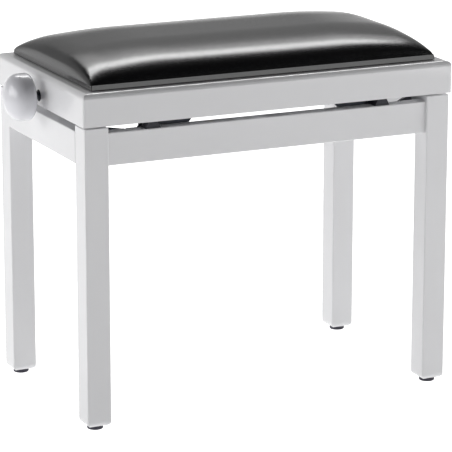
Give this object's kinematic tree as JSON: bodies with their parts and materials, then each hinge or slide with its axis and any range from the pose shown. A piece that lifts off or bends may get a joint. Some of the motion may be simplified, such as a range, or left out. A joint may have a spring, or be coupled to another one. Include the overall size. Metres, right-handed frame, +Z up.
{
  "type": "adjustable piano bench",
  "caption": "Height-adjustable piano bench with a lacquered leg frame, a lifting seat frame driven by a side knob and screw, and a crowned vinyl cushion.",
  "frame": {"origin": "on the floor, under the centre of the leg frame", "axes": "+X along the bench away from the knob, +Y to the back, +Z up"},
  "size_m": [0.5945, 0.318, 0.502],
  "materials": {
    "white_lacquer": "high-gloss white lacquer",
    "knob_white": "gloss white",
    "black_vinyl": "fine-grained vinyl, satin",
    "foam": "open-cell foam",
    "plywood": "pale birch plywood",
    "panel_board": "dark stained board",
    "dark_steel": "dark blue-black paint",
    "zinc_steel": "zinc plated",
    "brass": "turned",
    "black_rubber": "matte",
    "glide_plastic": "matte"
  },
  "bodies": {
    "base": {"apron_back": "white_lacquer", "apron_front": "white_lacquer", "apron_left": "white_lacquer", "apron_right": "white_lacquer", "brace_bolts": "zinc_steel", "brace_nuts": "zinc_steel", "bracket_screws": "zinc_steel", "corner_brace_back_left": "dark_steel", "corner_brace_back_right": "dark_steel", "corner_brace_front_left": "dark_steel", "corner_brace_front_right": "dark_steel", "foot_back_left": "glide_plastic", "foot_back_right": "glide_plastic", "foot_front_left": "glide_plastic", "foot_front_right": "glide_plastic", "leg_back_left": "white_lacquer", "leg_back_right": "white_lacquer", "leg_front_left": "white_lacquer", "leg_front_right": "white_lacquer", "pivot_bracket_back_left": "dark_steel", "pivot_bracket_back_right": "dark_steel", "pivot_bracket_front_left": "dark_steel", "pivot_bracket_front_right": "dark_steel", "pivot_pins": "zinc_steel", "pivot_spacers": "zinc_steel", "seat_buffers": "black_rubber"},
    "seat": {"cushion_board": "plywood", "cushion_cover": "black_vinyl", "cushion_foam": "foam", "cushion_screws": "zinc_steel", "rod_bearing": "dark_steel", "rod_bush": "black_rubber", "seat_block_back_left": "white_lacquer", "seat_block_back_right": "white_lacquer", "seat_block_front_left": "white_lacquer", "seat_block_front_right": "white_lacquer", "seat_block_screws": "zinc_steel", "seat_panel": "panel_board", "seat_rail_back": "white_lacquer", "seat_rail_front": "white_lacquer", "seat_rail_left": "white_lacquer", "seat_rail_right": "white_lacquer", "upper_rail_back": "dark_steel", "upper_rail_front": "dark_steel", "upper_rail_screws": "zinc_steel"},
    "drive": {"drive_rod": "dark_steel", "knob": "knob_white", "knob_insert": "brass", "rod_collars": "dark_steel"},
    "arm_left": {"lift_arm_back_left": "dark_steel", "lift_arm_front_left": "dark_steel"},
    "arm_right": {"lift_arm_back_right": "dark_steel", "lift_arm_front_right": "dark_steel"},
    "nut_left": {"lift_nut_left": "brass", "nut_bar_left": "dark_steel", "pin_clips_left": "zinc_steel"},
    "nut_right": {"lift_nut_right": "brass", "nut_bar_right": "dark_steel", "pin_clips_right": "zinc_steel"}
  },
  "joints": [
    {"name": "knob_turn", "type": "hinge", "parent": "seat", "child": "drive", "pos_m": [0, 0, 0.4295], "axis": [-1, 0, 0], "range_deg": [0, 4322]},
    {"name": "seat_lift", "type": "slide", "parent": "base", "child": "seat", "axis": [0, 0, 1], "range_m": [0, 0.085]},
    {"name": "arm_left_swing", "type": "hinge", "parent": "base", "child": "arm_left", "pos_m": [-0.17, 0, 0.41], "axis": [0, -1, 0], "range_deg": [0, 33.05]},
    {"name": "nut_left_level", "type": "hinge", "parent": "arm_left", "child": "nut_left", "pos_m": [-0.01119, 0, 0.4295], "axis": [0, 1, 0], "range_deg": [0, 33.05]},
    {"name": "arm_right_swing", "type": "hinge", "parent": "base", "child": "arm_right", "pos_m": [0.17, 0, 0.41], "axis": [0, 1, 0], "range_deg": [0, 33.05]},
    {"name": "nut_right_level", "type": "hinge", "parent": "arm_right", "child": "nut_right", "pos_m": [0.01119, 0, 0.4295], "axis": [0, -1, 0], "range_deg": [0, 33.05]}
  ],
  "couplings": [
    {"joint": "knob_turn", "follows": "seat_lift", "rad_per_m": 887.04},
    {"joint": "arm_left_swing", "follows": "seat_lift", "rad_per_m": 6.776},
    {"joint": "nut_left_level", "follows": "seat_lift", "rad_per_m": 6.776},
    {"joint": "arm_right_swing", "follows": "seat_lift", "rad_per_m": 6.776},
    {"joint": "nut_right_level", "follows": "seat_lift", "rad_per_m": 6.776}
  ]
}
